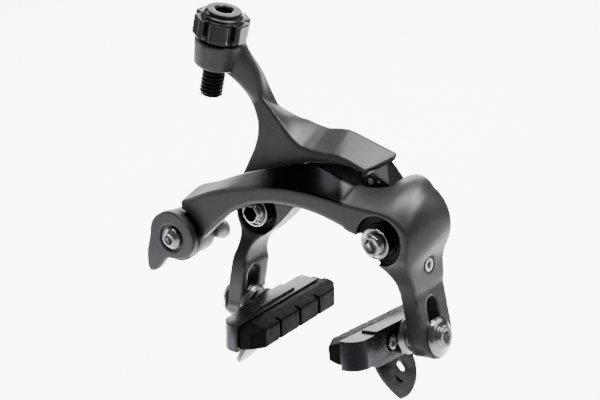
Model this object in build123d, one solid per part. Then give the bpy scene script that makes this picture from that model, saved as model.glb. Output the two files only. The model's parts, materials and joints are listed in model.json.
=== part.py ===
from build123d import *
import os
from math import cos, sin, tan, radians

# Direct-mount rim brake caliper for the front wheel of a road bicycle.
# Millimetres. +Z is up, +X points to the right in a front view, +Y points back towards the fork.
# The origin lies midway between the two mounting studs, in the mounting plane.
# Both arms are drawn open, with the shoes at the lower end of their slots and the release lever closed.

os.makedirs("parts", exist_ok=True)

# ---- driving dimensions, mm ----
PIVOT_X = 31.0            # half the standard 62 mm stud spacing
STUD_R = 3.0              # M6 mounting bolts
SHANK_R = 2.6             # waisted shank inside the sleeve
STUD_OUT = 11.0           # thread standing out behind the mounting plane
HEAD_R = 3.9              # pivot bolt head
HEX_R = 2.9               # corner radius of a 5 mm hexagon socket
COLLAR_R = 5.8            # dished collar under the bolt head
SLEEVE_R = 5.0            # sleeve an arm turns on
BUSH_R = 6.2              # bearing bush pressed into an arm
RUN = 0.05                # radial running clearance
GAP = 0.3                 # clearance between parts that only pass each other
RECESS_R = 8.9            # round recess about the rear arm's pivot
RECESS_FRONT_R = 9.3      # and about the front arm's
RECESS_DEEP = 3.2
ARM_BACK_Y = -3.0         # back faces of both arms
FRONT_Y = -27.0           # front face of the front arm
REAR_Y = -14.6            # front face of the rear arm
FLANGE_R = 7.0            # rear flange of a sleeve
SHOE_BOLT_Y = -13.2       # depth of the slots and the shoe bolts
LEG_THICK = 6.9           # leg plate between its two slot faces
STACK = 7.5               # washers between leg and pad holder
TILT_FRONT = 8.5          # open angle of the front arm's leg face
TILT_REAR = 11.5          # open angle of the rear arm's leg face
SEAT_FRONT = (45.7, -38.2)   # shoe bolt on the outer face of the front arm's leg, x and z
SEAT_REAR = (44.9, -36.2)    # the same on the rear arm's leg, mirrored
AIM_FRONT = 3.0           # tilt of the right shoe on its domed washers
AIM_REAR = 6.0            # tilt of the left shoe on its domed washers
PITCH_FRONT = 4.0         # nose of the shoe raised
PITCH_REAR = -1.0         # nose of the shoe lowered
SLOT_HALF = 3.3
SLOT_UP = 12.0            # free slot above the shoe bolt
LINK_R = 27.4             # link roller centre, from the origin
LINK_ANGLE = 40.0
ROLLER_R = 2.5
LINK_PLAY = 0.12          # between the link roller and the pad it bears on
LINK_Y = (-12.0, -6.0)    # width of the link roller
LINK_PAD_Y = (-13.0, -3.4)
CLOSING = 9.5             # travel of each arm from open to closed
ANCHOR = (-59.6, -9.4)    # cable anchor and release lever axis, x and z
ADJ_TOP = (-32.7, -21.0, 78.7)   # mouth of the barrel adjuster
ADJ_LEAN = 16.8           # lean of the barrel adjuster from the vertical
ADJ_LONG = 33.8
HEAD_RIGHT_Y = -31.0      # top of the right pivot bolt's head
HEAD_LEFT_Y = -18.4       # and of the left one's
HEAD_HIGH = 4.2
LOOSE = 0.1               # radial play of collars and sleeves on their bolts
WASHER_BORE = 3.06        # bore radius of the shoe washers
PIN_R = 1.2               # link pin
BRACKET_Y = (-13.5, -4.5)    # outer faces of the roller bracket
BRACKET_FOOT = (24.6, 13.3)  # outer lower corner of the bracket, x and z
LINK_PAD_THICK = 3.0
SPRING_WIRE_R = 0.6
LEVER_Y = (-31.2, -28.3)
CAM_Y = (-28.2, -24.5)
ANCHOR_TIP_Y = -9.0
ANCHOR_HOLE_R = 4.6
BOSS_R = 9.4              # boss at the cable end of the bridge
CLAMP_Y = (-15.2, -13.2)
CLAMP_NUT_Y = (-13.1, -9.6)
CLAMP_NUT_R = 5.6
BARREL_R = 4.4            # thread of the barrel adjuster
THREAD_ROOT_R = 3.95
THREAD_PITCH = 1.5
THREAD_TURNS = 7
HOUSING_R = 3.05          # seat of a 5 mm cable housing with its ferrule
CABLE_R = 1.3             # passage for the inner cable
CAP_TOP = 9.8             # base of the grip, down from the mouth
CENTERING = (38.0, -13.0, -11.0)   # centering screw, x, y and z
CENTERING_R = 2.6
SMALL_HEX_R = 1.45        # corner radius of a 2.5 mm hexagon socket
SHOE_HEX_R = 2.6          # 4.5 mm socket of the shoe bolts and the hole in the guide
FOOT_R = 8.2              # round foot of a leg about the shoe bolt
LEG_UP = 18.0             # straight part of a leg above the shoe bolt
HOLDER_NOSE = -30.0
HOLDER_TAIL = 22.2
HOLDER_HALF = 5.45        # half height of the pad holder
HOLDER_DEEP = 8.0
HOLDER_BELLY = 6.9        # half height of its thicker middle
PAD_OUT = 8.2             # rubber standing out of the holder
PAD_GROOVES = (-13.6, -1.2, 11.2)
PAD_SCREW_Y = -8.7
FLARE = 34                # outward lean of the wheel guide
THROUGH = 40              # longer than any hole or slot is deep


def outline(*segments):
    """Closed face from runs of points: two points make a line, more make a smooth curve."""
    edges = []
    for run in segments:
        if len(run) == 2:
            edges.append(Line(*run))
        else:
            edges.append(Spline(*run))
    return make_face(edges)


def front_slab(face, y_front, y_back):
    """A face drawn in front view (x, z), given depth."""
    return Pos(0, y_back, 0) * extrude(Plane.XZ * face, y_back - y_front)


def side_slab(face, x_low, x_high):
    """A face drawn in side view (y, z), given width."""
    return Pos(x_low, 0, 0) * extrude(Plane.YZ * face, x_high - x_low)


def rod(x, z, radius, y_front, y_back):
    """Round bar along the depth direction."""
    return front_slab(Pos(x, z) * Circle(radius), y_front, y_back)


def turned(profile, x, z):
    """Body of revolution about the depth axis through (x, z), from (radius, y) points."""
    face = make_face(Polyline(*profile, close=True))
    return Pos(x, 0, z) * revolve(face, Axis.Y)


def section(origin, angle, corners, radius):
    """Rounded cross-section of an arm: corners are (outward distance, y) about a front-view point."""
    c = cos(radians(angle))
    s = sin(radians(angle))
    plane = Plane(origin=(origin[0], 0, origin[1]), x_dir=(c, 0, s), z_dir=(-s, 0, c))
    flat = make_face(Polyline(*corners, close=True))
    return plane * fillet(flat.vertices(), radius)


def upright(x, z_low, z_front, z_back, z_low_back, y_front, y_back, radius=1.2):
    """Vertical cross-section whose top slopes from the front edge to the back edge."""
    corners = [(z_low, y_front), (z_front, y_front), (z_back, y_back), (z_low_back, y_back)]
    return section((x, 0), 90, corners, radius)


def hexagon_bar(radius, length):
    return extrude(RegularPolygon(radius, 6), length)


# ---- front arm ----

def bridge():
    """Bridge of the front arm from the cable end to the right pivot."""
    rows = [
        (-57, -12.0, 4.6, 6.6, -11.0, -16.8),
        (-47, -8.6, 8.2, 11.2, -7.0, -17.0),
        (-38, -1.0, 10.9, 14.6, 1.0, -17.6),
        (-28, 5.2, 12.9, 18.2, 7.0, -17.6),
        (-14, 8.4, 15.0, 22.0, 10.5, -16.6),
        (0, 7.8, 15.0, 23.5, 10.5, -16.0),
        (9, 5.8, 14.2, 20.2, 8.5, -16.0),
        (18, 2.8, 12.8, 16.6, 5.0, -16.0),
        (24, 1.6, 12.0, 16.4, 1.6, -15.0),
    ]
    parts = [upright(x, lo, zf, zb, lob, FRONT_Y, yb) for x, lo, zf, zb, lob, yb in rows]
    return loft(parts)


def shoulder_face(top, outer, y):
    """Front-view outline of the pivot boss, hump and leg at one depth; the leg is the same at every depth."""
    lean = tan(radians(TILT_FRONT))
    x_in = SEAT_FRONT[0] - LEG_THICK / cos(radians(TILT_FRONT))
    low = SEAT_FRONT[1] - FOOT_R
    high = SEAT_FRONT[1] + LEG_UP
    out_low = (SEAT_FRONT[0] + FOOT_R * lean, low)
    out_high = (SEAT_FRONT[0] - LEG_UP * lean, high)
    in_low = (x_in + 7.0 * lean, low + 1.2)
    in_high = (x_in - 14.0 * lean, high - 4.0)
    face = outline(
        [top[0], (17, 3.2)],
        [(17, 3.2), (20.4, 2.0), (22.9, 0.8), (23.9, -3.0), (28.0, -7.4), (33.2, -12.2), (35.6, -17.4),
         in_high],
        [in_high, in_low],
        [in_low, (in_low[0] + 1.2, low)],
        [(in_low[0] + 1.2, low), out_low],
        [out_low, out_high],
        [out_high] + outer + [top[-1]],
        list(reversed(top)),
    )
    return Pos(0, y, 0) * (Plane.XZ * face)


def front_shoulder():
    """Pivot boss, hump and leg of the front arm: a skin over three outlines, then shaped from the side."""
    front = shoulder_face(
        [(17, 12.6), (24, 12.0), (31, 11.2), (37, 9.9), (41.4, 7.2)],
        [(42.9, -14.5), (42.6, -9), (43.6, -3.5), (44.0, 2.2), (43.2, 5.4)],
        FRONT_Y,
    )
    middle = shoulder_face(
        [(17, 16.2), (23, 15.7), (30, 17.2), (36, 18.2), (42.6, 15.4)],
        [(43.2, -14.5), (43.8, -9), (46.2, -3.5), (47.2, 4.0), (46.0, 11.0)],
        -13.5,
    )
    back = shoulder_face(
        [(17, 10.6), (22, 11.6), (28, 16.4), (34.3, 19.0), (41.4, 14.8)],
        [(43.6, -14.5), (43.9, -9.6), (46.6, -3.0), (47.8, 3.6), (45.6, 10.4)],
        ARM_BACK_Y,
    )
    body = loft([front, middle, back])
    z_foot = SEAT_FRONT[1]
    side = outline(
        [(FRONT_Y - 1, 30), (FRONT_Y - 1, -4)],
        [(FRONT_Y - 1, -4), (FRONT_Y, -4)],
        [(FRONT_Y, -4), (-26.2, -9), (-23.6, -15), (-22.4, -22), (-22.2, -30)],
        [(-22.2, -30), (-22.2, z_foot)],
        [(-22.2, z_foot), (-19.8, z_foot - 5.6), (SHOE_BOLT_Y, z_foot - 8.1), (-6.2, z_foot - 5.6),
         (-3.4, z_foot + 0.5), (-3.2, -30)],
        [(-3.2, -30), (-2.0, -20)],
        [(-2.0, -20), (-2.0, 30)],
        [(-2.0, 30), (FRONT_Y - 1, 30)],
    )
    return body & side_slab(side, 10, 55)


def slot_cutter(seat, tilt):
    """Slot for the shoe bolt, square to the leg face, with its upper end open for height adjustment."""
    plane = Plane(origin=(seat[0], SHOE_BOLT_Y, seat[1]), x_dir=(0, 1, 0),
                  z_dir=(cos(radians(tilt)), 0, sin(radians(tilt))))
    pill = Pos(0, SLOT_UP / 2) * Rectangle(2 * SLOT_HALF, SLOT_UP)
    pill += Circle(SLOT_HALF) + Pos(0, SLOT_UP) * Circle(SLOT_HALF)
    return plane * extrude(pill, THROUGH / 2, both=True)


def link_sector(centre, r_low, r_high, a_low, a_high, y_front, y_back):
    """Part of a ring about a point, in front view."""
    ring = Circle(r_high) - Circle(r_low)
    far = 3 * r_high
    wedge = make_face(Polyline(
        (0, 0),
        (far * cos(radians(a_low)), far * sin(radians(a_low))),
        (far * cos(radians(a_high)), far * sin(radians(a_high))),
        close=True,
    ))
    return front_slab(Pos(*centre) * (ring & wedge), y_front, y_back)


def turned_about(point, pivot_x, angle):
    """Point of the front view turned about a pivot by an angle about +Y."""
    x = point[0] - pivot_x
    z = point[1]
    c = cos(radians(angle))
    s = sin(radians(angle))
    return pivot_x + x * c + z * s, z * c - x * s


def link_track():
    """Path of the roller centre seen from the rear arm as both arms close: an arc."""
    start = link_centre()
    path = []
    for angle in (0, CLOSING / 2, CLOSING):
        path.append(turned_about(turned_about(start, PIVOT_X, angle), -PIVOT_X, angle))
    return ThreePointArc(*path)


def front_arm():
    arm = bridge() + front_shoulder()
    arm += rod(ANCHOR[0], ANCHOR[1], BOSS_R, FRONT_Y, CLAMP_Y[0] - 0.4)
    arm -= rod(ANCHOR[0], ANCHOR[1], BOSS_R + 1.6, FRONT_Y - 3, CAM_Y[1] + GAP)
    arm -= rod(ANCHOR[0], ANCHOR[1], ANCHOR_HOLE_R, -THROUGH, -10)
    arm -= rod(PIVOT_X, 0, BUSH_R, -THROUGH, 5)
    arm -= rod(PIVOT_X + 0.5, 0.5, RECESS_FRONT_R, FRONT_Y - 3, FRONT_Y + RECESS_DEEP)
    arm -= slot_cutter(SEAT_FRONT, TILT_FRONT)
    x, y, z = CENTERING
    arm -= Pos(x, y, z) * Rot(0, 90, 0) * Cylinder(CENTERING_R + LOOSE, 30)
    arm -= Pos(x + 11, y, z) * Rot(0, 90, 0) * Cylinder(CENTERING_R + 0.8, 12)
    # pocket the track plate swings in, and the seat of the roller bracket
    arm -= link_sector((0, 0), LINK_R + 1.2, LINK_R + 7.2, 12, 52, BRACKET_Y[0] - LOOSE, 3)
    arm -= front_slab(Pos(20.8, 17.2) * Rectangle(11.2, 8.0), BRACKET_Y[0] - LOOSE, 3)
    return arm


# ---- rear arm ----

def rear_web():
    """Web of the rear arm, from the left pivot to the wing and the stalk; its upper edge slopes back."""
    left = [(-40.6, -4), (-39.6, 6), (-35.6, 15), (-29.4, 25.6), (-27.2, 34.6), (-29.4, 43), (-33.6, 49.6)]
    low = [(2, 22.2), (-6, 21.6), (-12, 17), (-15, 10), (-14.4, 3)]
    front_top = [(-29.5, 49.0), (-26.2, 47.2), (-23.6, 44.8)]
    front_crest = [(-23.6, 44.8), (-19.4, 40.0), (-15.2, 34.4), (-11.6, 30.2), (-5.4, 26.8), (2, 26.0)]
    back_top = [(-31.0, 49.6), (-28.6, 45.2), (-26.2, 39.6)]
    back_crest = [(-26.2, 39.6), (-20, 36.9), (-13.5, 35.0), (-6, 32.6), (2, 31.4)]
    faces = []
    for top, crest, y in ((front_top, front_crest, REAR_Y), (back_top, back_crest, ARM_BACK_Y)):
        face = outline(
            left,
            [left[-1], top[0]],
            top,
            crest,
            [crest[-1], low[0]],
            low,
            [low[-1], (-22.0, -4.6), (-28.4, -9.6)],
            [(-28.4, -9.6), left[0]],
        )
        faces.append(Pos(0, y, 0) * (Plane.XZ * face))
    return loft(faces, ruled=True)


def wing_blank():
    """Uncut plate of the wing, its top sloping up to the back."""
    rows = [
        (-13.5, 23.0, 31.0, 35.2, 22.0),
        (-8, 22.4, 27.8, 33.6, 20.5),
        (-3, 22.2, 26.8, 32.6, 20.0),
        (3, 22.4, 26.2, 33.2, 22.0),
        (6, 22.4, 26.2, 33.0, 24.6),
        (9, 22.2, 25.8, 32.1, 27.6),
        (13, 21.8, 24.6, 30.7, 28.0),
        (18, 20.2, 22.4, 28.9, 26.8),
        (28, 15.4, 17.4, 25.6, 23.6),
    ]
    return loft([upright(x, lo, zf, zb, lob, REAR_Y, -2.0, 0.7) for x, lo, zf, zb, lob in rows], ruled=True)


def wing():
    """Wing that reaches over to the link, trimmed to its slanted end."""
    end = outline(
        [(-40, -30), (9.4, -30)],
        [(9.4, -30), (26.0, -4)],
        [(26.0, -4), (25.6, -2), (23.5, 5)],
        [(23.5, 5), (-40, 5)],
        [(-40, 5), (-40, -30)],
    )
    return wing_blank() & extrude(end, 60)


def stalk():
    """Stalk carrying the housing stop forward over the cable."""
    rows = [
        (36.0, -25.4, -8.6, 7.0, 10.4, 0),
        (41.0, -27.0, -8.8, 6.4, 10.6, 8),
        (47.0, -28.9, -10.6, 8.0, 11.2, 20),
        (53.0, -31.1, -13.2, 11.4, 12.0, 32),
        (59.0, -33.9, -16.4, 14.4, 12.8, 40),
        (66.0, -35.6, -17.6, 14.6, 12.8, 40),
    ]
    parts = []
    for z, x, y, wide, deep, turn in rows:
        shape = RectangleRounded(wide, deep, 2.8)
        parts.append(Pos(x, y, z) * Rot(0, 0, turn) * shape)
    return loft(parts)


def adjuster_frame(depth):
    """Frame on the adjuster axis, a given distance down from its mouth, z pointing out of the mouth."""
    lean = radians(ADJ_LEAN)
    x = ADJ_TOP[0] - depth * sin(lean)
    z = ADJ_TOP[2] - depth * cos(lean)
    return Plane(origin=(x, ADJ_TOP[1], z), x_dir=(cos(lean), 0, -sin(lean)), z_dir=(sin(lean), 0, cos(lean)))


def rear_leg():
    """Leg of the rear arm, drawn on the right-hand side and mirrored."""
    lean = tan(radians(TILT_REAR))
    x_in = SEAT_REAR[0] - LEG_THICK / cos(radians(TILT_REAR))
    low = SEAT_REAR[1] - FOOT_R
    high = SEAT_REAR[1] + LEG_UP
    out_low = (SEAT_REAR[0] + FOOT_R * lean, low)
    out_high = (SEAT_REAR[0] - LEG_UP * lean, high)
    in_low = (x_in + 7.0 * lean, low + 1.2)
    in_high = (x_in - 14.0 * lean, high - 4.0)
    front = outline(
        [(40.6, -4), (24, -4)],
        [(24, -4), (28.4, -9.6)],
        [(28.4, -9.6), (33.0, -12.8), (35.0, -16.4), in_high],
        [in_high, in_low],
        [in_low, (in_low[0] + 1.2, low)],
        [(in_low[0] + 1.2, low), out_low],
        [out_low, out_high],
        [out_high, (39.6, -13), (39.4, -8.5), (40.6, -4)],
    )
    z_foot = SEAT_REAR[1]
    side = outline(
        [(REAR_Y, -2), (REAR_Y, -7)],
        [(REAR_Y, -7), (-15.6, -12), (-17.8, -17), (-19.2, -24), (-19.6, -30)],
        [(-19.6, -30), (-19.8, z_foot)],
        [(-19.8, z_foot), (-18.4, z_foot - 5.6), (SHOE_BOLT_Y, z_foot - 8.1), (-6.6, z_foot - 5.6),
         (-4.4, z_foot + 0.5), (-3.8, -30)],
        [(-3.8, -30), (ARM_BACK_Y, -18)],
        [(ARM_BACK_Y, -18), (ARM_BACK_Y, -2)],
        [(ARM_BACK_Y, -2), (REAR_Y, -2)],
    )
    leg = front_slab(front, -22, ARM_BACK_Y) & side_slab(side, 20, 55)
    leg -= slot_cutter(SEAT_REAR, TILT_REAR)
    return mirror(leg, Plane.YZ)


def rear_arm():
    arm = rear_web() + wing() + stalk() + rear_leg()
    boss = loft([adjuster_frame(22.0) * Circle(8.0), adjuster_frame(11.6) * Circle(9.2)])
    arm += boss
    arm -= adjuster_frame(THROUGH) * extrude(Circle(BARREL_R + RUN), THROUGH + 5)
    arm -= adjuster_frame(11.6) * extrude(Circle(14), 20)
    arm -= rod(-PIVOT_X, 0, BUSH_R, -THROUGH, 5)
    arm -= rod(-PIVOT_X, 0, RECESS_R, -THROUGH, REAR_Y + RECESS_DEEP)
    # room for the link roller and its bracket
    track = link_track()
    centre = (track.arc_center.X, track.arc_center.Y)
    swept = track.radius + ROLLER_R + LINK_PLAY
    arm -= link_sector(centre, swept - 13, swept, 20, 43.4, -13.9, -3.2)
    return arm


# ---- link between the arms ----

def link_pad():
    """Track plate: a pad whose hollow side follows the roller's path, on a rib under the wing."""
    track = link_track()
    centre = (track.arc_center.X, track.arc_center.Y)
    r_low = track.radius + ROLLER_R + LINK_PLAY
    pad = link_sector(centre, r_low, r_low + LINK_PAD_THICK, 25.4, 43.2, *LINK_PAD_Y)
    rib = outline(
        [(-9, 24.0), (-9, 20.8)],
        [(-9, 20.8), (-2, 18.6), (6, 16.2), (12, 14.9), (16.4, 14.4)],
        [(16.4, 14.4), (16.8, 20.9)],
        [(16.8, 20.9), (20.6, 20.9)],
        [(20.6, 20.9), (22.6, 22.6)],
        [(22.6, 22.6), (22.6, 24.0)],
        [(22.6, 24.0), (-9, 24.0)],
    )
    plate = pad + front_slab(rib, *LINK_PAD_Y) - rear_web() - wing()
    for lift in (0.8, 2.4, 4.0, 5.6):
        plate -= Pos(0, 0, lift) * wing_blank()
    return plate.solids().sort_by(SortBy.VOLUME)[-1]


def link_centre():
    a = radians(LINK_ANGLE)
    return LINK_R * cos(a), LINK_R * sin(a)


def link_roller():
    x, z = link_centre()
    return rod(x, z, ROLLER_R, LINK_Y[0] + 0.1, LINK_Y[1] - 0.1) - rod(x, z, PIN_R + RUN, -THROUGH, 0)


def link_pin():
    x, z = link_centre()
    return rod(x, z, PIN_R, *BRACKET_Y)


def roller_bracket():
    """Fork of sheet steel that holds the roller pin on the front arm."""
    x, z = link_centre()
    eye = 2 * PIN_R
    foot_x, foot_z = BRACKET_FOOT
    wide = 7.0
    thick = 1.1
    ear = Pos(x, z) * Circle(eye)
    web = Polyline((x - eye, z), (x + eye, z), (foot_x, foot_z), (foot_x - wide, foot_z), close=True)
    ear += make_face(web)
    fork = front_slab(ear, BRACKET_Y[0], LINK_Y[0] - 0.25)
    fork += front_slab(ear, LINK_Y[1] + 0.25, BRACKET_Y[1])
    fork += front_slab(Pos(foot_x - wide / 2, foot_z + thick / 2) * Rectangle(wide, thick), *BRACKET_Y)
    return fork - link_pin()


# ---- pivots ----

def pivot_bolt(side, head_y):
    x = side * PIVOT_X
    under = head_y + HEAD_HIGH
    bolt = turned([(0, head_y), (HEAD_R - 0.5, head_y), (HEAD_R, head_y + 0.5), (HEAD_R, under),
                   (SHANK_R, under), (SHANK_R, 0), (STUD_R, 0), (STUD_R, STUD_OUT - 0.8),
                   (STUD_R - 0.8, STUD_OUT), (0, STUD_OUT)], x, 0)
    socket = front_slab(Pos(x, 0) * RegularPolygon(HEX_R, 6), head_y - 1, head_y + 3.0)
    return bolt - socket


def pivot_collar(side, head_y):
    y = head_y + 2.7
    cup = HEAD_R + 0.25
    bore = STUD_R + LOOSE
    return turned([(cup, y + 0.9), (COLLAR_R - 0.6, y), (COLLAR_R, y), (COLLAR_R, y + 1.6),
                   (COLLAR_R - 0.7, y + 3.6), (bore, y + 3.6), (bore, y + 1.6), (cup, y + 1.6)],
                  side * PIVOT_X, 0)


def pivot_sleeve(side, head_y):
    y = head_y + 6.4
    bore = STUD_R + LOOSE
    return turned([(bore, y), (SLEEVE_R, y), (SLEEVE_R, -2.4), (FLANGE_R, -2.4), (FLANGE_R, 0), (bore, 0)],
                  side * PIVOT_X, 0)


def pivot_bush(side, face_y):
    x = side * PIVOT_X
    long = rod(x, 0, BUSH_R - 0.01, face_y + RECESS_DEEP, ARM_BACK_Y + 0.2)
    return long - rod(x, 0, SLEEVE_R + RUN, -THROUGH, 5)


def return_spring(side):
    """Hairpin wire behind an arm: a coil about the sleeve's flange with its tail down the back of the leg."""
    x = side * PIVOT_X
    y = -1.3
    coil_r = FLANGE_R + 1.1
    tail = 20
    coil = Pos(x, y, 0) * Rot(90, 0, 0) * Torus(coil_r, SPRING_WIRE_R)
    return coil + Pos(x + side * coil_r, y, -tail / 2) * Cylinder(SPRING_WIRE_R, tail)


# ---- cable anchor and release lever ----

def release_lever():
    """Round lever plate with its thumb tail, closed pointing down and outwards."""
    x, z = ANCHOR
    face = outline(
        [(x - 10.2, z + 1.2), (x - 8.0, z + 7.0), (x - 1.0, z + 10.6), (x + 6.2, z + 8.4), (x + 10.2, z + 1.8),
         (x + 8.6, z - 5.4), (x + 3.0, z - 8.0), (x - 2.6, z - 8.2)],
        [(x - 2.6, z - 8.2), (x - 6.4, z - 11.6), (x - 9.6, z - 14.2), (x - 12.2, z - 14.4),
         (x - 13.0, z - 12.0), (x - 12.2, z - 5.0), (x - 10.2, z + 1.2)],
    )
    plate = front_slab(face, *LEVER_Y)
    plate -= rod(x, z, 5.4, -THROUGH, LEVER_Y[0] + 1)
    return plate - rod(x, z, STUD_R + LOOSE + RUN, -THROUGH, -20)


def release_cam():
    x, z = ANCHOR
    cam = rod(x, z, 9.9, *CAM_Y) + rod(x + 0.6, z, ANCHOR_HOLE_R - 0.65, CAM_Y[1], CLAMP_Y[0] - 0.6)
    return cam - rod(x, z, STUD_R + LOOSE + RUN, -THROUGH, -10)


def anchor_bolt():
    x, z = ANCHOR
    shank = STUD_R + LOOSE
    head = 4.2
    seat_y = LEVER_Y[0] + 0.8
    top_y = seat_y - 2.6
    bolt = turned([(0, top_y), (2.6, top_y), (head, top_y + 1.4), (head, seat_y), (shank, seat_y),
                   (shank, ANCHOR_TIP_Y - 0.4), (shank - 0.4, ANCHOR_TIP_Y), (0, ANCHOR_TIP_Y)], x, z)
    return bolt - front_slab(Pos(x, z) * RegularPolygon(2.1, 6), top_y - 1, LEVER_Y[0])


def clamp_plate():
    """Cable clamp with a tongue that keeps the cable end beside the arm."""
    x, z = ANCHOR
    tongue = 3.7
    plate = Pos(x, z) * Circle(6.4) + Pos(x + 6.5, z) * Rectangle(9, 2 * tongue)
    plate += Pos(x + 11, z) * Circle(tongue)
    return front_slab(plate, *CLAMP_Y) - rod(x, z, STUD_R + LOOSE + RUN, -THROUGH, -5)


def clamp_nut():
    x, z = ANCHOR
    nut = front_slab(Pos(x, z) * RegularPolygon(CLAMP_NUT_R, 6), *CLAMP_NUT_Y)
    return nut - rod(x, z, STUD_R + LOOSE + 0.02, -THROUGH, -5)


# ---- barrel adjuster ----

def adjuster_cap():
    """Grip with six raised lobes round a plain crown."""
    grip = Circle(7.6)
    for k in range(6):
        grip += Rot(0, 0, 60 * k) * Pos(7.4, 0) * RectangleRounded(5.6, 7.2, 1.4)
    cap = adjuster_frame(CAP_TOP) * extrude(grip, 6.9)
    cap += adjuster_frame(3.0) * extrude(Circle(7.9), 1.4)
    cap += adjuster_frame(1.7) * extrude(Circle(7.2), 1.7, taper=20)
    cap += adjuster_frame(11.4) * extrude(Circle(8.0), 1.7)
    cap -= adjuster_frame(9.0) * extrude(Circle(HOUSING_R), 12)
    cap -= adjuster_frame(12.0) * extrude(Circle(BARREL_R + 0.02), 3.0)
    cap -= adjuster_frame(12.0) * extrude(Circle(CABLE_R), 12)
    cap -= adjuster_frame(0.6) * Solid.make_cone(HOUSING_R, HOUSING_R + 0.6, 0.61)
    return cap


def adjuster_barrel():
    """Threaded tube through the arm's boss, its thread as separate turns."""
    tube = adjuster_frame(ADJ_LONG) * extrude(Circle(BARREL_R), ADJ_LONG - 9.1)
    groove = extrude(Circle(BARREL_R + 0.8) - Circle(THREAD_ROOT_R), 0.7)
    for k in range(THREAD_TURNS):
        tube -= adjuster_frame(24.1 + THREAD_PITCH * k) * groove
    return tube - adjuster_frame(ADJ_LONG + 1) * extrude(Circle(CABLE_R), ADJ_LONG)


# ---- shoes, drawn on the right-hand side: x outward, y back, z up, origin at the holder's back ----

def slot_frame(seat, tilt):
    """Frame of the slot face of a leg at the shoe bolt: x outward along the bolt, z up the slot."""
    t = radians(tilt)
    origin = (seat[0], SHOE_BOLT_Y, seat[1])
    return Plane(origin=origin, x_dir=(cos(t), 0, sin(t)), z_dir=(-sin(t), 0, cos(t)))


def shoe_frame(seat, tilt, aim, pitch):
    """Frame of a shoe on its domed washers, on the stud axis at the outer face of the pad holder."""
    t = radians(tilt)
    a = radians(aim)
    p = radians(pitch)
    pivot = LEG_THICK + STACK / 2
    x = seat[0] - pivot * cos(t) - STACK / 2 * cos(a)
    z = seat[1] - pivot * sin(t) - STACK / 2 * sin(a)
    up = Vector(-sin(a), 0, cos(a))
    along = Vector(0, 1, 0)
    return Plane(origin=(x, SHOE_BOLT_Y, z), x_dir=(cos(a), 0, sin(a)), z_dir=up * cos(p) + along * sin(p))



def pad_holder():
    """Channel-shaped holder, closed and rounded at its nose and open at its tail."""
    plan = outline(
        [(-HOLDER_DEEP, HOLDER_TAIL), (-0.6, HOLDER_TAIL)],
        [(-0.6, HOLDER_TAIL), (0, HOLDER_TAIL - 3)],
        [(0, HOLDER_TAIL - 3), (0, HOLDER_NOSE + 6)],
        [(0, HOLDER_NOSE + 6), (-0.8, HOLDER_NOSE + 2.6), (-3.2, HOLDER_NOSE + 0.5), (-5.6, HOLDER_NOSE)],
        [(-5.6, HOLDER_NOSE), (-HOLDER_DEEP, HOLDER_NOSE)],
        [(-HOLDER_DEEP, HOLDER_NOSE), (-HOLDER_DEEP, HOLDER_TAIL)],
    )
    body = Pos(0, 0, -HOLDER_HALF) * extrude(plan, 2 * HOLDER_HALF)
    belly = outline(
        [(-24, -5), (-18, -HOLDER_BELLY)],
        [(-18, -HOLDER_BELLY), (7, -HOLDER_BELLY)],
        [(7, -HOLDER_BELLY), (13, -5)],
        [(13, -5), (9, 6.4)],
        [(9, 6.4), (-18, 6.4)],
        [(-18, 6.4), (-24, -5)],
    )
    body += side_slab(belly, -6.4, 0)
    channel = Pos(-HOLDER_DEEP, (HOLDER_NOSE + 2.2 + 40) / 2, 0) * Box(2 * 4.8, 40 - HOLDER_NOSE - 2.2, 8.4)
    body -= channel
    body -= Pos(0, PAD_SCREW_Y, 0) * Rot(0, 90, 0) * Cylinder(1.6, 12)
    body -= Pos(0, PAD_SCREW_Y, 0) * Rot(0, 90, 0) * Cylinder(3.5, 2.4)
    return body - Rot(0, 90, 0) * Cylinder(STUD_R + 0.02, 12)


def pad_section(y, half, reach):
    """Cross-section of the rubber block, narrower towards the rim."""
    inner = -HOLDER_DEEP - 0.1
    tip = -HOLDER_DEEP - reach
    flat = make_face(Polyline((inner, half), (inner - 0.32 * reach, half), (tip, half - 1.2), (tip, 1.2 - half),
                              (inner - 0.32 * reach, -half), (inner, -half), close=True))
    plane = Plane(origin=(0, y, 0), x_dir=(1, 0, 0), z_dir=(0, -1, 0))
    return plane * fillet(flat.vertices(), 0.7)


def brake_pad():
    """Rubber block with a root in the holder, a tapered nose, a sloped tail and three cross grooves."""
    nose = HOLDER_NOSE + 1.0
    tail = HOLDER_TAIL + 3.6
    root = Pos(-HOLDER_DEEP + 2.3, (HOLDER_NOSE + 2.4 + tail) / 2, 0) * Box(4.8, tail - HOLDER_NOSE - 2.4, 8.3)
    pad = root + loft([pad_section(nose + 6, 4.9, PAD_OUT), pad_section(tail, 4.9, PAD_OUT)])
    pad += loft([pad_section(nose, 3.9, PAD_OUT - 2.4), pad_section(nose + 6, 4.9, PAD_OUT)])
    slope = make_face(Polyline((tail + 1, -HOLDER_DEEP - PAD_OUT - 1), (tail - 5, -HOLDER_DEEP - PAD_OUT - 1),
                               (tail - 4, -HOLDER_DEEP - PAD_OUT), (tail, -HOLDER_DEEP - PAD_OUT + 3),
                               (tail + 1, -HOLDER_DEEP - PAD_OUT + 4), close=True))
    flat = Plane(origin=(0, 0, -8.0), x_dir=(0, 1, 0), z_dir=(0, 0, -1)) * slope
    pad -= extrude(flat, -16.0)
    for y in PAD_GROOVES:
        pad -= Pos(-HOLDER_DEEP - PAD_OUT, y, 0) * Box(5.0, 1.2, 12)
    return pad


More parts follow.
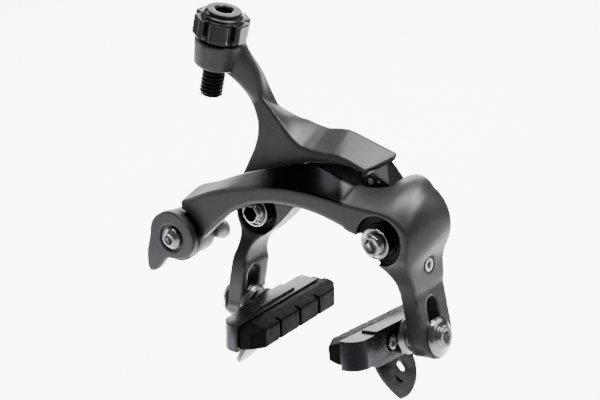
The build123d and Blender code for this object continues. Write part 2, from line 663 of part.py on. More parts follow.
def pad_screw():
    """Grub screw that locks the pad in the holder, head outwards."""
    head = Pos(-0.2, PAD_SCREW_Y, 0) * Rot(0, 90, 0) * Cylinder(2.7, 1.8)
    shank = Pos(-2.0, PAD_SCREW_Y, 0) * Rot(0, 90, 0) * Cylinder(1.5, 2.4)
    end = Plane(origin=(-0.2, PAD_SCREW_Y, 0), x_dir=(0, 1, 0), z_dir=(1, 0, 0))
    socket = end * hexagon_bar(SMALL_HEX_R, 3)
    return head + shank - socket


def shoe_stud():
    """Threaded stud from the holder into its washers."""
    return Pos(0.7, 0, 0) * Rot(0, 90, 0) * Cylinder(STUD_R, 7.4)


def shoe_bolt():
    """Button-headed bolt through the leg, drawn in the frame of the slot face."""
    bar = Pos(-LEG_THICK / 2 - 0.2, 0, 0) * Rot(0, 90, 0) * Cylinder(STUD_R, LEG_THICK + 4.4)
    head = Plane(origin=(2.0, 0, 0), x_dir=(0, 1, 0), z_dir=(1, 0, 0)) * extrude(Circle(4.3), 1.6, taper=16)
    socket = Plane(origin=(1.2, 0, 0), x_dir=(0, 1, 0), z_dir=(1, 0, 0)) * hexagon_bar(SHOE_HEX_R, 6)
    return bar + head - socket


def domed_washer():
    """Domed washer against the holder, which lets the shoe be aimed."""
    face = make_face(Polyline((WASHER_BORE, 0.1), (5.2, 0.1), (5.2, 0.9), (7.0, 1.1), (7.0, 1.9), (5.6, 3.3),
                              (WASHER_BORE, 3.9), close=True))
    return Rot(0, 0, -90) * revolve(face, Axis.Y)


def cup_washer():
    """Dished washer against the leg, in the frame of the slot face."""
    rim = 7.4
    face = make_face(Polyline((WASHER_BORE, -3.0), (rim - 1, -3.0), (rim, -1.6), (rim, -0.08),
                              (WASHER_BORE, -0.08), close=True))
    cup = Rot(0, 0, -90) * revolve(face, Axis.Y)
    return Pos(-LEG_THICK, 0, 0) * cup


def outer_washer():
    """Plain washer and dished washer under the bolt head, in the frame of the slot face."""
    plain = make_face(Polyline((WASHER_BORE, 0.08), (7.3, 0.08), (7.3, 0.9), (WASHER_BORE, 0.9), close=True))
    dish = make_face(Polyline((WASHER_BORE, 0.95), (6.8, 0.95), (6.8, 1.3), (5.0, 1.96),
                              (WASHER_BORE, 1.96), close=True))
    return Rot(0, 0, -90) * (revolve(plain, Axis.Y) + revolve(dish, Axis.Y))


def wheel_guide():
    """Flared tongue under the holder that steers the rim between the pads."""
    face = outline(
        [(-15.0, 0), (6.4, 0)],
        [(6.4, 0), (5.2, -5.6), (2.0, -10.4), (-4.2, -14.6), (-10.0, -16.2)],
        [(-10.0, -16.2), (-12.4, -15.8)],
        [(-12.4, -15.8), (-15.0, -9.8), (-15.8, -4.0), (-15.0, 0)],
    )
    tongue = extrude(Plane.YZ * face, 1.8)
    tongue -= Pos(-1, -3.2, -5.6) * Rot(0, 90, 0) * hexagon_bar(SHOE_HEX_R, 6)
    tongue -= side_slab(Pos(-9.6, -9.6) * Rot(0, 0, 90) * RegularPolygon(2.4, 3), 1.0, 3)
    placed = Pos(-4.6, 0, -HOLDER_BELLY - 0.1) * Rot(0, -FLARE, 0) * tongue
    return placed - Pos(-4, 0, 0) * Box(12, 80, 2 * HOLDER_BELLY + 0.1)


def on_shoe(shape, front):
    """Place a shoe piece on the front arm's leg, or mirrored on the rear arm's."""
    if front:
        return shoe_frame(SEAT_FRONT, TILT_FRONT, AIM_FRONT, PITCH_FRONT).location * shape
    return mirror(shoe_frame(SEAT_REAR, TILT_REAR, AIM_REAR, PITCH_REAR).location * shape, Plane.YZ)


def on_slot(shape, front):
    """Place a piece that sits square on the slot faces."""
    if front:
        return slot_frame(SEAT_FRONT, TILT_FRONT).location * shape
    return mirror(slot_frame(SEAT_REAR, TILT_REAR).location * shape, Plane.YZ)


def centering_screw():
    """Grub screw in the front arm's leg that balances the two springs."""
    x, y, z = CENTERING
    screw = Pos(x, y, z) * Rot(0, 90, 0) * Cylinder(CENTERING_R, 11)
    socket = Plane(origin=(x + 3, y, z), x_dir=(0, 1, 0), z_dir=(1, 0, 0)) * hexagon_bar(SMALL_HEX_R, 6)
    return screw - socket


def save(shape, name):
    export_step(shape, "parts/" + name + ".step")


save(front_arm(), "front_arm")
save(rear_arm(), "rear_arm")
save(link_pad(), "link_pad")
save(link_roller(), "link_roller")
save(link_pin(), "link_pin")
save(roller_bracket(), "roller_bracket")
save(pivot_bolt(1, HEAD_RIGHT_Y), "pivot_bolt_right")
save(pivot_bolt(-1, HEAD_LEFT_Y), "pivot_bolt_left")
save(pivot_collar(1, HEAD_RIGHT_Y), "pivot_collar_right")
save(pivot_collar(-1, HEAD_LEFT_Y), "pivot_collar_left")
save(pivot_sleeve(1, HEAD_RIGHT_Y), "pivot_sleeve_right")
save(pivot_sleeve(-1, HEAD_LEFT_Y), "pivot_sleeve_left")
save(pivot_bush(1, FRONT_Y), "pivot_bush_right")
save(pivot_bush(-1, REAR_Y), "pivot_bush_left")
save(return_spring(1), "return_spring_right")
save(return_spring(-1), "return_spring_left")
save(release_lever(), "release_lever")
save(release_cam(), "release_cam")
save(anchor_bolt(), "cable_anchor_bolt")
save(clamp_plate(), "cable_clamp_plate")
save(clamp_nut(), "cable_clamp_nut")
save(adjuster_cap(), "adjuster_cap")
save(adjuster_barrel(), "adjuster_barrel")
save(centering_screw(), "centering_screw")
for name, make, place in (("pad_holder", pad_holder, on_shoe), ("brake_pad", brake_pad, on_shoe),
                          ("pad_screw", pad_screw, on_shoe), ("shoe_stud", shoe_stud, on_shoe),
                          ("domed_washer", domed_washer, on_shoe), ("wheel_guide", wheel_guide, on_shoe),
                          ("cup_washer", cup_washer, on_slot), ("outer_washer", outer_washer, on_slot),
                          ("shoe_bolt", shoe_bolt, on_slot)):
    save(place(make(), True), name + "_right")
    save(place(make(), False), name + "_left")
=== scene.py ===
import bpy
import bmesh
import json
import math
import numpy as np
from mathutils import Matrix, Vector

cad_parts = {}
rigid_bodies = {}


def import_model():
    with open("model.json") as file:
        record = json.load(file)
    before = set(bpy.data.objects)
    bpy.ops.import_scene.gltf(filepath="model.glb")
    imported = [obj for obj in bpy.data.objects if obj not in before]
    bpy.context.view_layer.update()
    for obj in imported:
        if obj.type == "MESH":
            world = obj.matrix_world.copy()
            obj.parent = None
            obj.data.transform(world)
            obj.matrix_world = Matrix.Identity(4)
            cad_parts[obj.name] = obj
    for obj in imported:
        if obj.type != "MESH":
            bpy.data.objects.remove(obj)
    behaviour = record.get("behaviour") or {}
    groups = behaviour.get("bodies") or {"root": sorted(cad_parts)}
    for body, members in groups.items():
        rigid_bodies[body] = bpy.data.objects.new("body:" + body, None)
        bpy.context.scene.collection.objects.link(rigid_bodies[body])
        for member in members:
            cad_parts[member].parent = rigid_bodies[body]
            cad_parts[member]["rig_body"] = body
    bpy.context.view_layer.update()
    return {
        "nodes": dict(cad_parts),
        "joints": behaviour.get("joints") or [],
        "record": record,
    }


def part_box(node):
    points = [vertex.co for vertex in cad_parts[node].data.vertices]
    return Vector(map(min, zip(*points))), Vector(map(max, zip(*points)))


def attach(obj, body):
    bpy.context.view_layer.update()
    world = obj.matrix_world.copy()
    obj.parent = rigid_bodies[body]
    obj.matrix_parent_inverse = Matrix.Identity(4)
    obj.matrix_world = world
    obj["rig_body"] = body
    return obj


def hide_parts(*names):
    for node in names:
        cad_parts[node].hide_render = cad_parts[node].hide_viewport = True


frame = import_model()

# Direct-mount rim brake caliper, in metres. +X is right in a front view, +Y back towards the fork,
# +Z up. The origin lies midway between the two mounting studs, in the mounting plane.

MM = 0.001
NODES = frame["nodes"]
SLOT_OF = {part["node"]: part["material_slot"] for part in frame["record"]["subparts"]}
SCENE = bpy.context.scene

# ---------------------------------------------------------------- dimensions

PIVOT_X = 31.0 * MM              # each mounting bolt, either side of the middle

# The two arms: grid of the remesh, then rounds of smoothing without and with shrinkage.
ARM_VOXEL = 0.42 * MM
FRONT_ARM_ROUNDS = (3, 5)
REAR_ARM_ROUNDS = (4, 6)
EDGE_ROUNDS = 12                 # blur that an edge has to stand out from
EDGE_HEIGHT = 0.16 * MM          # height over the blur that counts as a full edge
EDGE_START = 0.35                # share of that height where the polish and painted highlight begin

# Recess about each pivot, painted black as shade, in mm: centre (x, z), radius, y of the arm's face
# and of the floor.
FRONT_RECESS = ((31.5, 0.5), 9.3, -27.0, -23.8)
REAR_RECESS = ((-31.0, 0.0), 8.9, -14.6, -11.4)

# Gloss black panel on top of the bridge, in mm along a line that leans across the bridge.
PANEL_LEAN = 0.55
PANEL_LEAN_FROM_Y = 27
PANEL_FADE_IN = (-26.0, -10.0)
PANEL_FADE_OUT = (15.5, 18.5)
PANEL_HEIGHT = (9.0, 12.0)
PANEL_FACES_UP = (0.25, 0.55)

# Mounting studs behind the mounting plane: the CAD core is drawn in and a thread put round it.
STUD_R = 3.0 * MM
STUD_TURN = 1.0 * MM
STUD_THREAD_DEPTH = 0.5 * MM
STUD_THREAD_START = 0.3 * MM
STUD_CORE_SCALE = 0.78
STUD_CORE_SHORTER = 0.6 * MM
STUD_TIP_FROM = 5 * MM
PLANE_SLACK = 0.05 * MM

# Barrel adjuster, along its own axis.
BARREL_R = 4.38 * MM
BARREL_BORE_R = 1.3 * MM
BARREL_THREAD_DEPTH = 0.55 * MM
BARREL_TURN = 1.5 * MM
BARREL_LENGTH = 24.6 * MM
BARREL_FOOT_DOWN = 33.8 * MM     # foot of the tube, down from the cable mouth
MOUTH_UP = 15 * MM               # cable mouth, up from the joint's place

# Thread profile.
FLANK_SLOPE = 2.6
ROOT_FLAT = 0.15

# Edge rounds of the machined and moulded pieces, in build order: width in mm, segments.
SIDE_BEVELS = {
    "pivot_collar_": (0.16, 3),
    "pivot_sleeve_": (0.2, 3),
    "shoe_bolt_": (0.2, 3),
    "pad_screw_": (0.12, 3),
    "outer_washer_": (0.12, 3),
    "cup_washer_": (0.18, 3),
    "domed_washer_": (0.18, 3),
    "pad_holder_": (0.5, 4),
}
WHEEL_GUIDE_BEVEL = (0.3, 3)
BEVELS = {
    "release_cam": (0.25, 3),
    "cable_anchor_bolt": (0.22, 3),
    "cable_clamp_plate": (0.25, 3),
    "cable_clamp_nut": (0.25, 3),
    "centering_screw": (0.15, 3),
    "roller_bracket": (0.18, 3),
    # link_pad: black cam plate under the wing, made large so that its black also serves as painted
    # shade there.
    "link_pad": (0.25, 3),
}
PIVOT_BOLT_BEVEL = (0.22, 3)
BEVEL_ANGLE = 32                 # degrees between faces from which an edge is broken
SHARP_ANGLE = 30                 # degrees from which an edge stays sharp in the shading
SHARP_THREAD_ANGLE = 38
SHARP_BARREL_ANGLE = 50

# Moulded pieces that are remeshed: voxel in mm, then the two rounds of smoothing.
SOFT_PAD = (0.24, (1, 2))
SOFT_CAP = (0.2, (1, 2))
SOFT_LEVER = (0.25, (2, 3))

# ---------------------------------------------------------------- node materials


class Shader:
    """Small helper for building a node material around one Principled shader."""

    def __init__(self, name):
        self.material = bpy.data.materials.new(name)
        self.material.use_nodes = True
        self.tree = self.material.node_tree
        self.tree.nodes.clear()
        out = self.tree.nodes.new("ShaderNodeOutputMaterial")
        self.bsdf = self.tree.nodes.new("ShaderNodeBsdfPrincipled")
        self.link(self.bsdf.outputs[0], out.inputs[0])
        self.coords = self.tree.nodes.new("ShaderNodeTexCoord").outputs["Object"]

    def link(self, a, b):
        self.tree.links.new(a, b)

    def feed(self, socket, value):
        """Link a socket's source, or set its value where a number or a colour is given."""
        if isinstance(value, float):
            socket.default_value = value
        elif isinstance(value, tuple):
            socket.default_value = (*value, 1.0)
        else:
            self.link(value, socket)

    def set(self, **values):
        for key, value in values.items():
            self.bsdf.inputs[key.replace("_", " ")].default_value = value

    def noise(self, scale, detail=4.0, rough=0.5, stretch=None):
        node = self.tree.nodes.new("ShaderNodeTexNoise")
        node.inputs["Scale"].default_value = scale
        node.inputs["Detail"].default_value = detail
        node.inputs["Roughness"].default_value = rough
        self.link(self.stretched(stretch), node.inputs["Vector"])
        return node.outputs["Fac"]

    def stretched(self, stretch):
        if stretch is None:
            return self.coords
        mapping = self.tree.nodes.new("ShaderNodeMapping")
        mapping.inputs["Scale"].default_value = stretch
        self.link(self.coords, mapping.inputs["Vector"])
        return mapping.outputs[0]

    def cells(self, scale):
        node = self.tree.nodes.new("ShaderNodeTexVoronoi")
        node.inputs["Scale"].default_value = scale
        self.link(self.coords, node.inputs["Vector"])
        return node.outputs["Color"]

    def attribute(self, name):
        node = self.tree.nodes.new("ShaderNodeAttribute")
        node.attribute_name = name
        return node.outputs["Fac"]

    def ramp(self, fac, stops):
        node = self.tree.nodes.new("ShaderNodeValToRGB")
        self.link(fac, node.inputs[0])
        ramp = node.color_ramp
        while len(ramp.elements) < len(stops):
            ramp.elements.new(0.5)
        for element, (place, colour) in zip(ramp.elements, stops):
            element.position = place
            element.color = (*colour, 1.0)
        return node.outputs[0]

    def span(self, fac, low_in, high_in, low, high):
        node = self.tree.nodes.new("ShaderNodeMapRange")
        self.link(fac, node.inputs[0])
        for slot, value in zip((1, 2, 3, 4), (low_in, high_in, low, high)):
            node.inputs[slot].default_value = value
        return node.outputs[0]

    def mix(self, fac, a, b):
        """Mix of two colours."""
        node = self.tree.nodes.new("ShaderNodeMix")
        node.data_type = "RGBA"
        self.link(fac, node.inputs[0])
        self.feed(node.inputs[6], a)
        self.feed(node.inputs[7], b)
        return node.outputs[2]

    def mix_value(self, fac, a, b):
        """Mix of two plain values."""
        node = self.tree.nodes.new("ShaderNodeMix")
        self.link(fac, node.inputs[0])
        self.feed(node.inputs[2], a)
        self.feed(node.inputs[3], b)
        return node.outputs[0]

    def multiply(self, a, b):
        node = self.tree.nodes.new("ShaderNodeMath")
        node.operation = "MULTIPLY"
        self.link(a, node.inputs[0])
        self.link(b, node.inputs[1])
        return node.outputs[0]

    def scaled(self, colour, factor):
        node = self.tree.nodes.new("ShaderNodeVectorMath")
        node.operation = "SCALE"
        self.link(colour, node.inputs[0])
        self.link(factor, node.inputs["Scale"])
        return node.outputs[0]

    def bump(self, height, strength, distance):
        node = self.tree.nodes.new("ShaderNodeBump")
        node.inputs["Strength"].default_value = strength
        node.inputs["Distance"].default_value = distance
        self.link(height, node.inputs["Height"])
        self.link(node.outputs[0], self.bsdf.inputs["Normal"])

    def colour(self, socket):
        self.link(socket, self.bsdf.inputs["Base Color"])

    def roughness(self, socket):
        self.link(socket, self.bsdf.inputs["Roughness"])


PAINT_METALLIC = 0.72
# Near black painted into the pivot recesses as shade.
RECESS_PAINTED_SHADE = (0.008, 0.008, 0.009)
PANEL_BLACK = (0.003, 0.003, 0.004)
PANEL_ROUGHNESS = 0.20


def satin_paint(name, dark, light, edge, panel=False):
    """Satin metallic paint: fine flake, convex edges lightened as polish and painted highlight,
    pivot recesses painted black as shade, and on the bridge a gloss black panel."""
    s = Shader(name)
    s.set(Metallic=PAINT_METALLIC, Coat_Weight=0.12, Coat_Roughness=0.30)
    mottle = s.noise(90, 5.0, 0.6)
    flake = s.cells(9000)
    base = s.ramp(mottle, [(0.3, dark), (0.7, light)])
    colour = s.scaled(base, s.span(flake, 0.0, 1.0, 0.82, 1.18))
    # Convex edges lightened: partly polish wear, partly painted highlight.
    edge_wear_and_highlight = s.multiply(s.attribute("edge"), s.span(s.noise(260, 3.0), 0.45, 0.70, 0.0, 0.7))
    colour = s.mix(edge_wear_and_highlight, colour, edge)
    rough = s.span(s.noise(420, 4.0), 0.3, 0.7, 0.38, 0.46)
    # Painted shade: the pivot recesses turn near black.
    colour = s.mix(s.attribute("recess"), colour, RECESS_PAINTED_SHADE)
    if panel:
        band = s.attribute("panel")
        colour = s.mix(band, colour, PANEL_BLACK)
        rough = s.mix_value(band, rough, PANEL_ROUGHNESS)
        s.link(s.mix_value(band, PAINT_METALLIC, 1.0), s.bsdf.inputs["Metallic"])
    s.colour(colour)
    s.roughness(rough)
    s.bump(s.noise(5200, 2.0), 0.10, 0.06 * MM)
    return s.material


def polished_metal(name, base, rough, scratch):
    """Plated or turned metal with hairline marks and slight staining."""
    s = Shader(name)
    s.set(Metallic=1.0)
    stain = s.noise(320, 4.0)
    low = tuple(0.82 * c for c in base)
    s.colour(s.ramp(stain, [(0.35, low), (0.65, base)]))
    hair = s.noise(900, 3.0, 0.6, (1.0, 7.0, 1.0))
    s.roughness(s.span(hair, 0.3, 0.7, rough, rough + scratch))
    s.bump(hair, 0.12, 0.04 * MM)
    return s.material


def rubber(name):
    """Moulded rubber: fine grain, scuffs and a little grey bloom."""
    s = Shader(name)
    s.set(Specular_IOR_Level=0.07)
    bloom = s.noise(240, 5.0, 0.65)
    s.colour(s.ramp(bloom, [(0.35, (0.003, 0.003, 0.0035)),
                            (0.62, (0.006, 0.006, 0.007)),
                            (0.85, (0.014, 0.014, 0.016))]))
    grain = s.noise(3600, 3.0, 0.7)
    s.roughness(s.span(s.noise(500, 3.0), 0.3, 0.7, 0.40, 0.60))
    s.bump(grain, 0.30, 0.10 * MM)
    return s.material


def moulded(name, dark, light, rough, grain, coat=0.0, metallic=0.0, shine=0.5, relief=0.16):
    """Moulded plastic or gloss-coated piece with a soft mottle and a fine texture."""
    s = Shader(name)
    s.set(Coat_Weight=coat, Coat_Roughness=0.08, Specular_IOR_Level=shine, Metallic=metallic)
    s.colour(s.ramp(s.noise(140, 3.0, 0.5), [(0.3, dark), (0.7, light)]))
    s.roughness(s.span(s.noise(190, 3.0), 0.3, 0.7, rough, rough + 0.07))
    s.bump(s.noise(grain, 2.0, 0.5), relief, 0.02 * MM)
    return s.material


def anodised(name, base, rough):
    """Black anodised or oxide-finished metal, rubbed bright here and there."""
    s = Shader(name)
    s.set(Metallic=0.75)
    rub = s.span(s.noise(520, 5.0, 0.7), 0.58, 0.72, 0.0, 1.0)
    s.colour(s.mix(rub, base, tuple(3.0 * c for c in base)))
    s.roughness(s.span(s.noise(900, 3.0), 0.3, 0.7, rough, rough + 0.12))
    s.bump(s.noise(2600, 3.0), 0.15, 0.05 * MM)
    return s.material


# The edge colour lightens convex edges: partly polish, partly painted highlight.
ARM_PAINT = {"dark": (0.090, 0.090, 0.095), "light": (0.106, 0.106, 0.112),
             "edge": (0.18, 0.18, 0.19)}

MATERIALS = {
    "front_arm_paint": satin_paint("front_arm_paint", **ARM_PAINT, panel=True),
    "rear_arm_paint": satin_paint("rear_arm_paint", **ARM_PAINT),
    "lever_alloy": satin_paint("lever_alloy", dark=(0.100, 0.100, 0.108),
                               light=(0.115, 0.115, 0.124), edge=(0.17, 0.17, 0.18)),
    "black_steel": anodised("black_steel", base=(0.025, 0.025, 0.027), rough=0.30),
    "steel": polished_metal("steel", base=(0.66, 0.66, 0.67), rough=0.20, scratch=0.10),
    "chrome": polished_metal("chrome", base=(0.82, 0.82, 0.83), rough=0.07, scratch=0.05),
    "zinc_plate": polished_metal("zinc_plate", base=(0.60, 0.60, 0.63), rough=0.30, scratch=0.12),
    "spring_steel": polished_metal("spring_steel", base=(0.50, 0.50, 0.51), rough=0.28,
                                   scratch=0.10),
    "black_plastic": moulded("black_plastic", dark=(0.006, 0.006, 0.007),
                             light=(0.012, 0.012, 0.013), rough=0.34, grain=2400, shine=0.25),
    "adjuster_black": moulded("adjuster_black", dark=(0.006, 0.006, 0.007),
                              light=(0.013, 0.013, 0.014), rough=0.18, grain=1800, coat=0.5),
    "barrel_black": anodised("barrel_black", base=(0.016, 0.016, 0.017), rough=0.26),
    "holder_black": moulded("holder_black", dark=(0.046, 0.046, 0.055),
                            light=(0.056, 0.056, 0.066), rough=0.24, grain=500, coat=0.05,
                            metallic=0.70, shine=0.3, relief=0.01),
    "pad_rubber": rubber("pad_rubber"),
    "guide_plastic": moulded("guide_plastic", dark=(0.045, 0.045, 0.052),
                             light=(0.070, 0.070, 0.078), rough=0.22, grain=1500, coat=0.2),
}


def dress(obj, slot):
    obj.data.materials.clear()
    obj.data.materials.append(MATERIALS[slot])


# ---------------------------------------------------------------- pieces from CAD shapes

def cad_copy(node):
    """Welded copy of a CAD mesh as a new object."""
    mesh = NODES[node].data.copy()
    obj = bpy.data.objects.new("part_" + node, mesh)
    SCENE.collection.objects.link(obj)
    bm = bmesh.new()
    bm.from_mesh(mesh)
    bmesh.ops.remove_doubles(bm, verts=bm.verts, dist=0.002 * MM)
    bmesh.ops.dissolve_limit(bm, angle_limit=math.radians(1.0), verts=bm.verts, edges=bm.edges)
    bm.to_mesh(mesh)
    bm.free()
    if "custom_normal" in mesh.attributes:
        mesh.attributes.remove(mesh.attributes["custom_normal"])
    return obj


def apply_modifiers(obj):
    graph = bpy.context.evaluated_depsgraph_get()
    mesh = bpy.data.meshes.new_from_object(obj.evaluated_get(graph))
    old = obj.data
    obj.modifiers.clear()
    obj.data = mesh
    bpy.data.meshes.remove(old)


def settle(obj, node):
    """Give a finished piece its material and its body, and hide the CAD node it stands for."""
    slot = SLOT_OF[node]
    dress(obj, slot)
    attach(obj, NODES[node]["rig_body"])
    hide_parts(node)


def shade_by_angle(mesh, degrees):
    mesh.shade_smooth()
    mesh.set_sharp_from_angle(angle=math.radians(degrees))


def broken_edges(node, width, segments):
    """Copy of a CAD shape with its edges broken by a small round; the width is in mm."""
    obj = cad_copy(node)
    bevel = obj.modifiers.new("bevel", "BEVEL")
    bevel.width = width * MM
    bevel.segments = segments
    bevel.limit_method = "ANGLE"
    bevel.angle_limit = math.radians(BEVEL_ANGLE)
    apply_modifiers(obj)
    return obj


def make_bevelled(node, width, segments):
    """Machined or cleanly moulded piece."""
    obj = broken_edges(node, width, segments)
    shade_by_angle(obj.data, SHARP_ANGLE)
    settle(obj, node)


def neighbours(mesh):
    edges = np.empty(len(mesh.edges) * 2, np.int64)
    mesh.edges.foreach_get("vertices", edges)
    return edges.reshape(-1, 2)


def vectors(mesh, what):
    """Places ("co") or normals ("normal") of a mesh's vertices as rows of three."""
    values = np.empty(len(mesh.vertices) * 3)
    mesh.vertices.foreach_get(what, values)
    return values.reshape(-1, 3)


def relaxed(co, edges, rounds, shrink=0.50, grow=-0.53):
    """Taubin smoothing: evens a mesh out without shrinking it."""
    count = np.bincount(edges.ravel(), minlength=len(co)).astype(float)[:, None]
    co = co.copy()
    for _ in range(rounds):
        for factor in (shrink, grow):
            total = np.zeros_like(co)
            for axis in range(3):
                total[:, axis] += np.bincount(edges[:, 0], co[edges[:, 1], axis], len(co))
                total[:, axis] += np.bincount(edges[:, 1], co[edges[:, 0], axis], len(co))
            co += factor * (total / np.maximum(count, 1) - co)
    return co


def averaged(co, edges, rounds):
    """Plain smoothing, which also rounds corners off."""
    return relaxed(co, edges, rounds, grow=0.0)


def add_mask(mesh, name, values):
    layer = mesh.attributes.new(name, "FLOAT", "POINT")
    layer.data.foreach_set("value", values.astype(np.float32))


def forged(node, voxel, rounds):
    """Forged or moulded piece: remeshed finely and smoothed, so that its faces run into each
    other. Its convex edges get the mask that the paint shows as polish and painted highlight."""
    obj = cad_copy(node)
    remesh = obj.modifiers.new("remesh", "REMESH")
    remesh.mode = "VOXEL"
    remesh.voxel_size = voxel
    apply_modifiers(obj)
    mesh = obj.data
    edges = neighbours(mesh)
    even, soft = rounds
    co = averaged(relaxed(vectors(mesh, "co"), edges, even), edges, soft)
    mesh.vertices.foreach_set("co", co.ravel())
    mesh.update()
    mesh.shade_smooth()
    away = co - averaged(co, edges, EDGE_ROUNDS)
    convex = np.einsum("ij,ij->i", away, vectors(mesh, "normal"))
    add_mask(mesh, "edge", np.clip(convex / EDGE_HEIGHT - EDGE_START, 0, 1))
    return obj


def step(values, low, high):
    """Smooth rise from 0 at low to 1 at high."""
    t = np.clip((values - low) / (high - low), 0, 1)
    return t * t * (3 - 2 * t)


def recess_shade_mask(mesh, centre, radius, y_face, y_floor):
    """Round recess about a pivot, painted black as shade; all values in mm."""
    x, y, z = vectors(mesh, "co").T / MM
    away = np.hypot(x - centre[0], z - centre[1])
    inside = 1 - step(away, radius - 0.1, radius + 0.3)
    return inside * step(y, y_face + 0.1, y_face + 0.4) * (y < y_floor + 1)


def panel_mask(mesh):
    """Gloss black panel on the upward faces of the bridge."""
    x, y, z = vectors(mesh, "co").T / MM
    up = vectors(mesh, "normal")[:, 2]
    slanted = x + PANEL_LEAN * (y + PANEL_LEAN_FROM_Y)
    band = step(slanted, *PANEL_FADE_IN) * (1 - step(slanted, *PANEL_FADE_OUT))
    return band * (step(up, *PANEL_FACES_UP) * step(z, *PANEL_HEIGHT))


def make_front_arm():
    obj = forged("front_arm", ARM_VOXEL, FRONT_ARM_ROUNDS)
    add_mask(obj.data, "panel", panel_mask(obj.data))
    add_mask(obj.data, "recess", recess_shade_mask(obj.data, *FRONT_RECESS))
    settle(obj, "front_arm")


def make_rear_arm():
    obj = forged("rear_arm", ARM_VOXEL, REAR_ARM_ROUNDS)
    add_mask(obj.data, "recess", recess_shade_mask(obj.data, *REAR_RECESS))
    settle(obj, "rear_arm")


def make_soft(node, voxel, rounds):
    """Moulded piece with softened edges; the voxel is in mm."""
    settle(forged(node, voxel * MM, rounds), node)


# ---------------------------------------------------------------- screw threads

def circle(bm, radius, around, along):
    corners = []
    for k in range(around):
        angle = 2 * math.pi * k / around
        corners.append(bm.verts.new((radius * math.cos(angle), radius * math.sin(angle), along)))
    return corners


def thread_mesh(name, radius, depth, pitch, length, bore=0.0, around=48, per_turn=10):
    """Bar along +Z with a helical thread outside; a bore above 0 makes it a tube."""
    rows = max(2, int(length / pitch * per_turn))
    bm = bmesh.new()
    rings = []
    for i in range(rows + 1):
        along = length * i / rows
        ring = []
        for k in range(around):
            angle = 2 * math.pi * k / around
            phase = (along / pitch - k / around) % 1.0
            crest = min(1.0, max(0.0, FLANK_SLOPE * (0.5 - abs(phase - 0.5)) - ROOT_FLAT))
            fade = min(1.0, 3 * along / pitch, 3 * (length - along) / pitch)
            r = radius - depth * (1 - crest * fade)
            ring.append(bm.verts.new((r * math.cos(angle), r * math.sin(angle), along)))
        rings.append(ring)
    if bore > 0:
        low = circle(bm, bore, around, 0)
        high = circle(bm, bore, around, length)
        rings = [low] + rings + [high, low]
    for a, b in zip(rings, rings[1:]):
        for k in range(around):
            n = (k + 1) % around
            bm.faces.new((a[k], a[n], b[n], b[k]))
    if bore == 0:
        bm.faces.new(rings[0])
        bm.faces.new(rings[-1])
    bmesh.ops.recalc_face_normals(bm, faces=bm.faces)
    mesh = bpy.data.meshes.new(name)
    bm.to_mesh(mesh)
    bm.free()
    return mesh


def join(obj, mesh):
    """Add a mesh to an object's own mesh."""
    bm = bmesh.new()
    bm.from_mesh(obj.data)
    bm.from_mesh(mesh)
    bm.to_mesh(obj.data)
    bm.free()
    bpy.data.meshes.remove(mesh)


def make_pivot_bolt(side, sign):
    """Socket bolt whose stud has a helical thread behind the mounting plane."""
    node = "pivot_bolt_" + side
    obj = broken_edges(node, *PIVOT_BOLT_BEVEL)
    centre = sign * PIVOT_X
    for v in obj.data.vertices:
        if v.co.y > -PLANE_SLACK:
            v.co.x = centre + (v.co.x - centre) * STUD_CORE_SCALE
            v.co.z *= STUD_CORE_SCALE
            if v.co.y > STUD_TIP_FROM:
                v.co.y -= STUD_CORE_SHORTER
    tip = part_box(node)[1].y
    thread = thread_mesh("thread_" + side, STUD_R, STUD_THREAD_DEPTH, STUD_TURN,
                         tip - STUD_THREAD_START)
    back = Matrix.Rotation(math.radians(-90), 4, "X")
    thread.transform(Matrix.Translation((centre, STUD_THREAD_START, 0)) @ back)
    join(obj, thread)
    shade_by_angle(obj.data, SHARP_THREAD_ANGLE)
    settle(obj, node)


def make_barrel():
    """Black threaded tube of the barrel adjuster."""
    joint = next(j for j in frame["joints"] if j["name"] == "barrel_adjuster_turn")
    axis = Vector(joint["axis"]).normalized()
    mouth = Vector(joint["pos_m"]) + MOUTH_UP * axis
    foot = mouth - BARREL_FOOT_DOWN * axis
    mesh = thread_mesh("barrel", BARREL_R, BARREL_THREAD_DEPTH, BARREL_TURN, BARREL_LENGTH,
                       BARREL_BORE_R, around=64, per_turn=12)
    shade_by_angle(mesh, SHARP_BARREL_ANGLE)
    obj = bpy.data.objects.new("part_adjuster_barrel", mesh)
    SCENE.collection.objects.link(obj)
    mesh.transform(Matrix.Translation(foot) @ axis.to_track_quat("Z", "Y").to_matrix().to_4x4())
    settle(obj, "adjuster_barrel")


# ---------------------------------------------------------------- build

def build_pieces():
    make_front_arm()
    make_rear_arm()
    make_barrel()
    for side, sign in (("right", 1), ("left", -1)):
        make_pivot_bolt(side, sign)
        for stem, bevel in SIDE_BEVELS.items():
            make_bevelled(stem + side, *bevel)
        make_soft("brake_pad_" + side, *SOFT_PAD)
        make_bevelled("wheel_guide_" + side, *WHEEL_GUIDE_BEVEL)
    make_soft("adjuster_cap", *SOFT_CAP)
    make_soft("release_lever", *SOFT_LEVER)
    for node, bevel in BEVELS.items():
        make_bevelled(node, *bevel)
    for node, obj in NODES.items():
        dress(obj, SLOT_OF[node])


# ---------------------------------------------------------------- camera, light, floor

# The camera stands at the photo's angle: its own three directions, its place and its lens.
CAM_RIGHT = Vector((0.81505, 0.57455, -0.07474))
CAM_UP = Vector((-0.11958, 0.29303, 0.94860))
CAM_BACK = Vector((0.56692, -0.76422, 0.30754))
CAM_PLACE = Vector((0.420338, -0.594960, 0.240552))
CAM_LENS_MM = 123.93
CAM_SENSOR_MM = 36.0

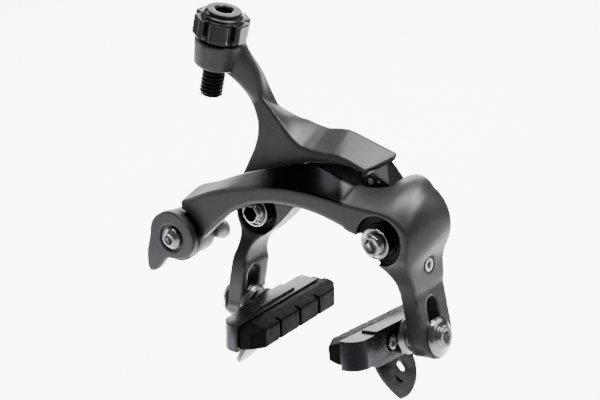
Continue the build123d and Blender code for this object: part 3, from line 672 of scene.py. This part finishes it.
# Soft boxes: place, target, size, power in watts, spread of the beam in degrees.
LIGHTS = {
    "overhead": ((-0.04, -0.02, 1.00), (0, 0, 0), (0.4, 0.4), 5, 180),
    "overhead_right": ((0.42, 0.26, 0.95), (0, 0, 0), (0.5, 0.5), 10, 180),
    "left_panel": ((-1.0, -0.35, 0.20), (0, 0, 0), (0.5, 0.9), 2.5, 180),
    "back_left": ((-1.00, 1.30, 0.60), (0, 0, 0), (1.6, 0.8), 22, 180),
    "back_right": ((0.95, 1.00, 0.45), (0, 0, 0), (0.9, 0.7), 1.8, 180),
    "low_front": ((-0.18, -0.17, -0.15), (-0.04, -0.01, -0.03), (0.12, 0.08), 0.11, 180),
    "floor_wash": ((-0.74, 0.97, 0.60), (-0.86, 1.13, -0.32), (1.4, 2.1), 90, 70),
}
SURROUND_COLOUR = (0.80, 0.81, 0.84, 1)
SURROUND_STRENGTH = 0.10

FLOOR_HALF = 6.0
FLOOR_Z = -0.32


def make_camera():
    data = bpy.data.cameras.new("camera")
    data.lens = CAM_LENS_MM
    data.sensor_width = CAM_SENSOR_MM
    data.clip_start = 0.05
    data.clip_end = 20.0
    cam = bpy.data.objects.new("camera", data)
    SCENE.collection.objects.link(cam)
    turn = Matrix((CAM_RIGHT, CAM_UP, CAM_BACK)).transposed().to_4x4()
    cam.matrix_world = Matrix.Translation(CAM_PLACE) @ turn
    SCENE.camera = cam


def area_light(name, place, target, size, power, spread):
    data = bpy.data.lights.new(name, "AREA")
    data.spread = math.radians(spread)
    data.shape = "RECTANGLE"
    data.size, data.size_y = size
    data.energy = power
    lamp = bpy.data.objects.new(name, data)
    SCENE.collection.objects.link(lamp)
    way = (Vector(target) - Vector(place)).normalized()
    turn = way.to_track_quat("-Z", "Y").to_matrix().to_4x4()
    lamp.matrix_world = Matrix.Translation(Vector(place)) @ turn


def make_world():
    """Dim, even studio surround that fills the shadows."""
    world = bpy.data.worlds.new("studio")
    SCENE.world = world
    world.use_nodes = True
    background = world.node_tree.nodes["Background"]
    background.inputs[0].default_value = SURROUND_COLOUR
    background.inputs[1].default_value = SURROUND_STRENGTH


def make_floor():
    """Plain pale floor, far enough down to keep its shadows out of the picture."""
    h = FLOOR_HALF
    mesh = bpy.data.meshes.new("floor")
    mesh.from_pydata([(-h, -h, 0), (h, -h, 0), (h, h, 0), (-h, h, 0)], [], [(0, 1, 2, 3)])
    floor = bpy.data.objects.new("floor", mesh)
    floor.location = (0, 0, FLOOR_Z)
    SCENE.collection.objects.link(floor)
    s = Shader("floor_pale")
    s.set(Roughness=0.9, Specular_IOR_Level=0.1)
    s.colour(s.ramp(s.noise(2.0, 3.0), [(0.3, (0.90, 0.90, 0.90)), (0.7, (0.93, 0.93, 0.93))]))
    mesh.materials.append(s.material)


build_pieces()
make_camera()
for name, light in LIGHTS.items():
    area_light(name, *light)
make_world()
make_floor()
